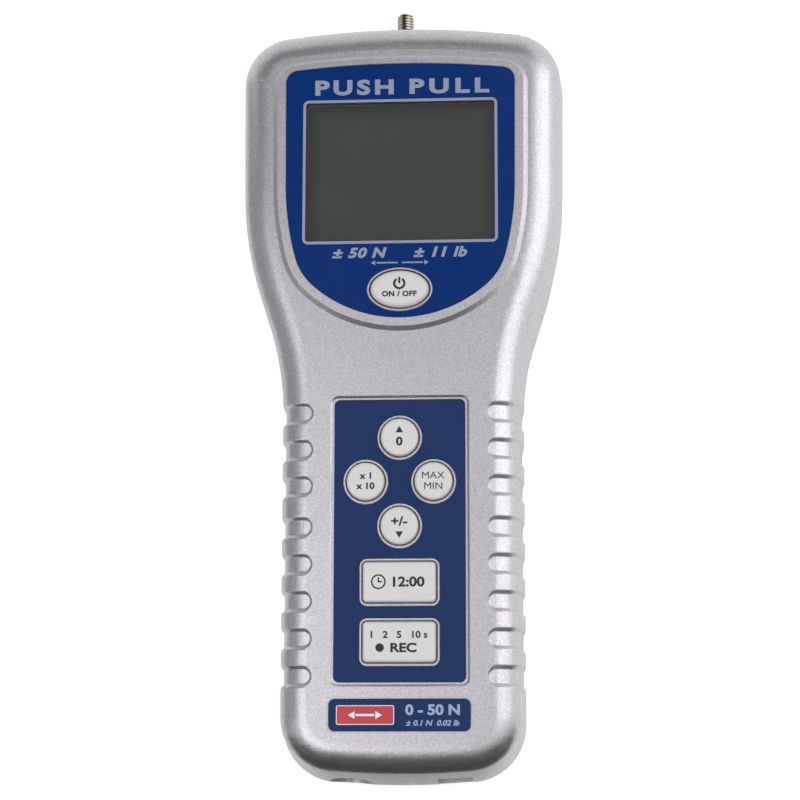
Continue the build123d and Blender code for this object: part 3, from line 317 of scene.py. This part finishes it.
def broken_ring(radius, line, gap):
    """A ring that is open at its top by gap degrees to each side."""
    bm = bmesh.new()
    bmesh.ops.create_grid(bm, x_segments=1, y_segments=1, size=0.5 * MM)
    bmesh.ops.scale(bm, vec=(line, INK_THICK, 1), verts=bm.verts)
    bmesh.ops.rotate(bm, cent=(0, 0, 0), matrix=Matrix.Rotation(pi / 2, 3, "X"), verts=bm.verts)
    bmesh.ops.translate(bm, vec=(radius * MM, 0, INK_THICK * MM / 2), verts=bm.verts)
    first = Matrix.Rotation(pi / 2 + radians(gap), 3, "Z")
    bmesh.ops.rotate(bm, cent=(0, 0, 0), matrix=first, verts=bm.verts)
    bmesh.ops.spin(bm, geom=bm.verts[:] + bm.edges[:] + bm.faces[:], cent=(0, 0, 0), axis=(0, 0, 1),
                   angle=2 * pi - 2 * radians(gap), steps=40, use_duplicate=False)
    return bm


def words(text, height, weight=0.0, slant=0.0, spread=1.0, widen=1.0):
    """Raised ink lettering, centred on the origin. height is that of a capital; weight thickens the
    strokes by as much on every side, spread spaces the letters and widen stretches them."""
    curve = bpy.data.curves.new("words", "FONT")
    curve.body, curve.align_x, curve.align_y = text, "CENTER", "CENTER"
    curve.size, curve.offset, curve.shear = height * MM / CAPITAL, weight * MM, slant
    curve.space_character, curve.resolution_u, curve.extrude = spread, 4, INK_THICK * MM / 2
    holder = bpy.data.objects.new("words", curve)
    bpy.context.scene.collection.objects.link(holder)
    mesh = bpy.data.meshes.new_from_object(holder)
    bpy.data.objects.remove(holder)
    bm = bmesh.new()
    bm.from_mesh(mesh)
    bpy.data.meshes.remove(mesh)
    bmesh.ops.remove_doubles(bm, verts=bm.verts, dist=1e-7)
    low = [min(v.co[i] for v in bm.verts) for i in (0, 1)]
    high = [max(v.co[i] for v in bm.verts) for i in (0, 1)]
    shift = (-(low[0] + high[0]) / 2, -(low[1] + high[1]) / 2, INK_THICK * MM / 2)
    bmesh.ops.translate(bm, vec=shift, verts=bm.verts)
    bmesh.ops.scale(bm, vec=(widen, 1, 1), verts=bm.verts)
    return bm


def top_of(node):
    """Height in millimetres of a node's top."""
    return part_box(node)[1].z / MM


def middle(node):
    """X and Y in millimetres of a node's middle."""
    low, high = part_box(node)
    return (low.x + high.x) / 2 / MM, (low.y + high.y) / 2 / MM


# Print on the display label: heading, line round the view, loads and their directions
label_top = top_of("display_label") - INK_SEAT
heading_y, loads_y, arrows_y = view_y + 24.3, view_y - 23.3, view_y - 26.2
line_clear = 0.8            # from the view's edge to the outside of the line round it
display_print = bmesh.new()
view_line = plate(VIEW_WIDTH + 2 * line_clear, VIEW_HEIGHT + 2 * line_clear, corner=1.6, line=0.78)
join(display_print, view_line, 0, view_y, label_top)
for heading, x, spread, widen in (("PUSH", -12.8, 1.3, 1.38), ("PULL", 13.8, 1.36, 1.42)):
    lettering = words(heading, 3.95, weight=0.25, spread=spread, widen=widen)
    join(display_print, lettering, x, heading_y, label_top)
for side, load in ((-1, "± 50 N"), (1, "± 11 lb")):
    lettering = words(load, 2.65, weight=0.17, slant=0.25, spread=1.1, widen=1.2)
    join(display_print, lettering, side * 11.2, loads_y, label_top)
    join(display_print, disc(0.8, sides=3), side * 7.2, arrows_y, label_top, turn=-pi / 2 * side)
    join(display_print, plate(5.8, 0.42), side * 3.5, arrows_y, label_top)
keep(display_print, "display_print", silver_ink, "case")

# Name label: a red patch with a double arrow, the load range and its resolution
name_x, name_y = middle("name_label")
name_top = top_of("name_label") - INK_SEAT
patch_size = (15.6, 5.2, 0.5)       # width, height and corner
patch_x, range_x = name_x - 9.2, name_x + 8.9
patch_top = name_top + INK_THICK
patch = bmesh.new()
join(patch, plate(*patch_size), patch_x, name_y, name_top)
keep(patch, "range_patch", red_ink, "case")
patch_print = bmesh.new()
join(patch_print, plate(*patch_size, line=0.22), patch_x, name_y, patch_top)
for side in (-1, 1):
    join(patch_print, disc(1.2, sides=3), patch_x + side * 3.4, name_y, patch_top, turn=-pi / 2 * side)
join(patch_print, plate(5.0, 0.6), patch_x, name_y, patch_top)
keep(patch_print, "range_patch_print", white_ink, "case")
range_print = bmesh.new()
join(range_print, words("0 - 50 N", 2.6, weight=0.14, widen=1.14), range_x, name_y + 1.4, name_top)
join(range_print, words("± 0.1 N  0.02 lb", 1.4, weight=0.06, slant=0.25, widen=1.1),
     range_x, name_y - 2.1, name_top)
keep(range_print, "range_print", pale_ink, "case")


def legend(key, parts):
    """Prints small shapes on a key; each is (bmesh, x, y, turn) about the key's middle."""
    key_x, key_y = middle(key)
    bm = bmesh.new()
    for shape, x, y, turn in parts:
        join(bm, shape, key_x + x, key_y + y, top_of(key) - INK_SEAT, turn)
    keep(bm, key.replace("_key", "_legend"), black_ink, key)


legend("up_key", [(disc(1.2, sides=3), 0, 1.8, 0),
                  (words("0", 2.2, weight=0.12, widen=1.1), 0, -1.2, 0)])
legend("down_key", [(disc(1.2, sides=3), 0, -2.3, pi),
                    (words("+/-", 2.3, weight=0.1, widen=1.15), 0, 1.1, 0)])
legend("left_key", [(words("x 1", 1.7, weight=0.09, widen=1.1), 0, 1.5, 0),
                    (words("x 10", 1.7, weight=0.09, widen=1.1), 0, -1.3, 0)])
legend("right_key", [(words("MAX", 1.85, widen=1.1), 0, 1.5, 0),
                     (words("MIN", 1.85, widen=1.1), 0, -1.4, 0)])
# A clock face with its two hands, and a time
legend("clock_key", [(disc(2.0, line=0.4), -5.6, 0, 0), (plate(0.4, 1.3), -5.6, 0.55, 0),
                     (plate(1.15, 0.4), -5.2, 0, 0),
                     (words("12:00", 2.5, weight=0.12, widen=1.15), 2.6, 0, 0)])
# Seconds between readings, and a recording dot
legend("record_key", [(words("1   2   5   10 s", 1.75, weight=0.08, widen=1.1), 0, 1.9, 0),
                      (disc(1.15), -5.2, -1.6, 0),
                      (words("REC", 2.3, weight=0.12, widen=1.2), 1.2, -1.6, 0)])
legend("power_key", [(broken_ring(1.4, 0.62, 32), 0, 1.3, 0), (plate(0.6, 1.75), 0, 2.2, 0),
                     (words("ON / OFF", 1.4, weight=0.09, spread=1.08, widen=1.05), 0, -1.6, 0)])


# Nickel ring in the face of the serial jack's collar, pointing out of the tail
jack_low, jack_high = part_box("serial_jack")
jack_x, jack_z = (jack_low.x + jack_high.x) / 2, (jack_low.z + jack_high.z) / 2
ring = disc(3.05, line=1.1, thick=0.12)
bmesh.ops.recalc_face_normals(ring, faces=ring.faces)
bmesh.ops.rotate(ring, cent=(0, 0, 0), matrix=Matrix.Rotation(pi / 2, 3, "X"), verts=ring.verts)
bmesh.ops.translate(ring, vec=(jack_x, jack_low.y + INK_SEAT * MM, jack_z), verts=ring.verts)
keep(ring, "jack_ring", nickel, "case")


# ---------------------------------------------------------------- the stud's real thread
def threaded_stud(name, node, pitch, root, crest, start_y, chamfer, thick_part, steps=48):
    """Replaces the plain stud by one with a helical thread from start_y to its tip. root and crest
    are radii, and thick_part is where its shank is as wide as the node."""
    low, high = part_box(node)
    axis_x, axis_z = (low.x + high.x) / 2, (low.z + high.z) / 2
    tip, base = high.y / MM, low.y / MM
    turns = int((tip - start_y) / pitch) + 3
    bm = bmesh.new()
    # one pitch of the thread, from root to crest to root, is spun up the stud turn after turn
    profile = [(root, 0.0), (root, 0.12), (crest, 0.44), (crest, 0.56), (root, 0.88), (root, 1.0)]
    chain = [bm.verts.new((r * MM, 0, share * pitch * MM)) for r, share in profile]
    edges = [bm.edges.new(pair) for pair in zip(chain, chain[1:])]
    bmesh.ops.spin(bm, geom=chain + edges, cent=(0, 0, 0), axis=(0, 0, 1), angle=2 * pi * turns,
                   dvec=(0, 0, pitch * MM / steps), steps=steps * turns, use_duplicate=False)
    bmesh.ops.remove_doubles(bm, verts=bm.verts, dist=2e-6)
    bmesh.ops.translate(bm, vec=(0, 0, (start_y - 1.5 * pitch) * MM), verts=bm.verts)
    for height, outer in ((tip, True), (start_y, False)):
        cut = bmesh.ops.bisect_plane(bm, geom=bm.verts[:] + bm.edges[:] + bm.faces[:], dist=1e-7,
                                     plane_co=(0, 0, height * MM), plane_no=(0, 0, 1),
                                     clear_outer=outer, clear_inner=not outer)["geom_cut"]
        rim = [e for e in cut if isinstance(e, bmesh.types.BMEdge)]
        bmesh.ops.holes_fill(bm, edges=rim, sides=0)
    # chamfer of the tip
    for v in bm.verts:
        limit = crest * MM - max(0.0, v.co.z - (tip - chamfer) * MM)
        radius = hypot(v.co.x, v.co.y)
        if radius > limit > 0:
            v.co.x *= limit / radius
            v.co.y *= limit / radius
    # plain shank below the thread, with its thicker middle
    thick_from, thick_to = thick_part
    thick = (high.x - low.x) / 2 / MM
    outline = [(0, start_y), (crest, start_y), (crest, thick_to), (thick, thick_to), (thick, thick_from),
               (crest, thick_from), (crest, base), (0, base)]
    chain = [bm.verts.new((r * MM, 0, height * MM)) for r, height in outline]
    edges = [bm.edges.new(pair) for pair in zip(chain, chain[1:])]
    bmesh.ops.spin(bm, geom=chain + edges, cent=(0, 0, 0), axis=(0, 0, 1), angle=2 * pi, steps=64,
                   use_merge=True, use_duplicate=False)
    bmesh.ops.remove_doubles(bm, verts=bm.verts, dist=1e-7)
    bmesh.ops.rotate(bm, cent=(0, 0, 0), matrix=Matrix.Rotation(-pi / 2, 3, "X"), verts=bm.verts)
    bmesh.ops.translate(bm, vec=(axis_x, 0, axis_z), verts=bm.verts)
    bmesh.ops.recalc_face_normals(bm, faces=bm.faces)
    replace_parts(keep(bm, name, steel, "stud"), node)


threaded_stud("threaded_stud", "sensing_stud", pitch=0.8, root=1.95, crest=2.42, start_y=102.4,
              chamfer=0.55, thick_part=(83.1, 102.3))


# ---------------------------------------------------------------- studio (sizes in metres)
def sheet(name, size, place, material):
    """A flat sheet of the studio, of a width and a depth, that stands where place puts it."""
    bm = bmesh.new()
    bmesh.ops.create_grid(bm, x_segments=1, y_segments=1, size=0.5)
    bmesh.ops.scale(bm, vec=(*size, 1), verts=bm.verts)
    bmesh.ops.transform(bm, matrix=place, verts=bm.verts)
    mesh = bpy.data.meshes.new(name)
    bm.to_mesh(mesh)
    bm.free()
    mesh.materials.append(material)
    made = bpy.data.objects.new(name, mesh)
    bpy.context.scene.collection.objects.link(made)
    return made


def seen_straight(tree):
    """An output that is 1 for what the camera sees, also through the window, and the outputs for
    each kind of ray."""
    rays = add(tree, "LightPath").outputs
    seen = add(tree, "Math", {0: rays["Is Camera Ray"], 1: rays["Is Transmission Ray"]},
               operation="MAXIMUM")
    return seen.outputs[0], rays


def pale_floor():
    """White studio floor: it looks white, also in reflections, and keeps the object's shadow."""
    material, tree, shader = start("white_studio_floor", Roughness=0.9, Specular_IOR_Level=0.0,
                                   Base_Color=linear("f2f2f2"), Emission_Color=(1, 1, 1, 1))
    seen, rays = seen_straight(tree)
    gleam = add(tree, "Math", {0: rays["Is Glossy Ray"], 1: 0.1}, operation="MULTIPLY")
    glow = add(tree, "Math", {0: seen, 1: 0.45, 2: gleam.outputs[0]}, operation="MULTIPLY_ADD")
    tree.links.new(glow.outputs[0], shader.inputs["Emission Strength"])
    sheet("floor", (12, 12), Matrix.Identity(4), material)


def grey_card(name, centre, size, towards, shade, roll=0):
    """A card of an even shade that only reflections see, turned by roll degrees in its plane."""
    material = start(name, Base_Color=(0, 0, 0, 1), Specular_IOR_Level=0.0,
                     Emission_Color=linear(shade), Emission_Strength=1.0)[0]
    turn = (Vector(towards) - Vector(centre)).to_track_quat("Z", "Y").to_matrix().to_4x4()
    turn = Matrix.Translation(centre) @ turn @ Matrix.Rotation(radians(roll), 4, "Z")
    card = sheet(name, size, turn, material)
    card.visible_camera = card.visible_shadow = False
    card.visible_diffuse = card.visible_transmission = False


pale_floor()
grey_card("low_card_at_tail", (0.02, -0.1343, 0.0152), (0.36, 0.187), (0.02, -0.0373, 0.0395),
          "121214", roll=12)
grey_card("far_card_at_tail", (0, -1.6, 0.9), (3.4, 1.8), (0, 0, 0.9), "1c1c20")
grey_card("high_card_at_head", (-0.35, 0.78, 0.98), (2.2, 0.8), (-0.05, 0, 0.04), "101012")
grey_card("low_card_at_left", (-0.197, 0.0, 0.115), (0.245, 0.6), (0.013, 0, 0.241), "98989a")
grey_card("card_overhead", (-0.575, 0.5, 1.7), (1.85, 2.2), (-0.575, 0.5, 0), "929294")
grey_card("pale_card_at_head", (0.245, 0.5, 1.6), (0.48, 0.5), (0.245, 0.5, 0), "f0f0f2")


def softbox(name, place, size, level, towards=(0, 0, 0.03)):
    """A rectangular lamp whose face has the given level, where 1 is white."""
    lamp = bpy.data.lights.new(name, "AREA")
    lamp.shape, lamp.size, lamp.size_y = "RECTANGLE", size[0], size[1]
    lamp.energy = level * pi * size[0] * size[1]
    lit = bpy.data.objects.new(name, lamp)
    lit.location = place
    lit.rotation_mode = "QUATERNION"
    lit.rotation_quaternion = (Vector(place) - Vector(towards)).to_track_quat("Z", "Y")
    lit.visible_camera = False
    bpy.context.scene.collection.objects.link(lit)


softbox("left_softbox", (-0.32, -0.19, 0.72), (0.47, 0.7), 1.62, towards=(-0.32, -0.19, 0))
softbox("right_softbox", (1.0, 0.32, 0.96), (0.86, 1.6), 1.35)

world = bpy.data.worlds.new("studio")
bpy.context.scene.world = world
world.use_nodes = True
sky = world.node_tree
seen, rays = seen_straight(sky)
level = add(sky, "MapRange", {"Value": seen, "To Min": 0.8, "To Max": 1.0})
level = add(sky, "Math", {0: rays["Is Diffuse Ray"], 1: -0.1, 2: level.outputs[0]},
            operation="MULTIPLY_ADD")
sky.nodes["Background"].inputs["Color"].default_value = (1, 1, 1, 1)
sky.links.new(level.outputs[0], sky.nodes["Background"].inputs["Strength"])

# Camera: above the front, a little to the right and towards the tail
distance = 0.6326
aim = Vector((0.07, -7.0, 45.0)) * MM
back = Vector((0.0696, -0.1733, 0.9824)).normalized()
right = (-back).cross(Vector((0, 1, 0))).normalized()
up = right.cross(-back)
roll = radians(0.09)
right, up = right * cos(roll) + up * sin(roll), up * cos(roll) - right * sin(roll)
lens = bpy.data.cameras.new("camera")
lens.sensor_width, lens.lens = 36.0, 104.05
lens.clip_start, lens.clip_end = 0.01, 50.0
camera = bpy.data.objects.new("camera", lens)
bpy.context.scene.collection.objects.link(camera)
turn = Matrix((right, up, back)).transposed().to_4x4()
camera.matrix_world = Matrix.Translation(aim + back * distance) @ turn
bpy.context.scene.camera = camera
bpy.context.scene.view_settings.view_transform = "Standard"
